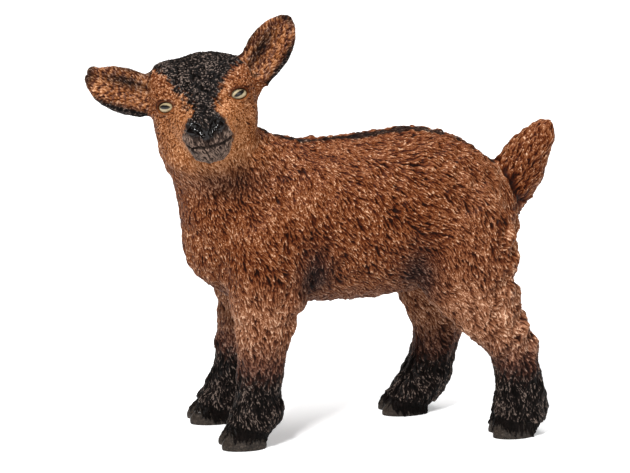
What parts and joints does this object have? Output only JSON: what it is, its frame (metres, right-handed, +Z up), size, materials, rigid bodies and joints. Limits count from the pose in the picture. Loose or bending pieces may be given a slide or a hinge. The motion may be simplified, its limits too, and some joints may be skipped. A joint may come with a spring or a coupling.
{
  "type": "goat kid figurine",
  "caption": "Moulded plastic goat kid standing with its head turned to its left, furry relief, and trunk, head, ears, eyes, legs and tail joined on flat pegged seams.",
  "frame": {"origin": "middle of the figurine's overall box at the ground, under the trunk", "axes": "+X towards the rump, so the kid faces -X; +Y towards the kid's right side; +Z up. The head is turned to the kid's left, towards -Y"},
  "size_m": [0.0527, 0.0194, 0.048],
  "materials": {
    "coat": "solid plastic with a moulded fur relief, painted reddish brown with darker hollows, a black crown and a black line along the back",
    "legs": "solid plastic with a moulded fur relief, painted from brown through purple-brown to black, dark grey-brown hooves",
    "eyes": "gloss, cream with a dark level pupil"
  },
  "bodies": {
    "root": {"torso": "coat", "head": "coat", "left_ear": "coat", "right_ear": "coat", "left_eye": "eyes", "right_eye": "eyes", "front_left_leg": "legs", "front_right_leg": "legs", "hind_left_leg": "legs", "hind_right_leg": "legs", "tail": "coat"}
  },
  "joints": []
}
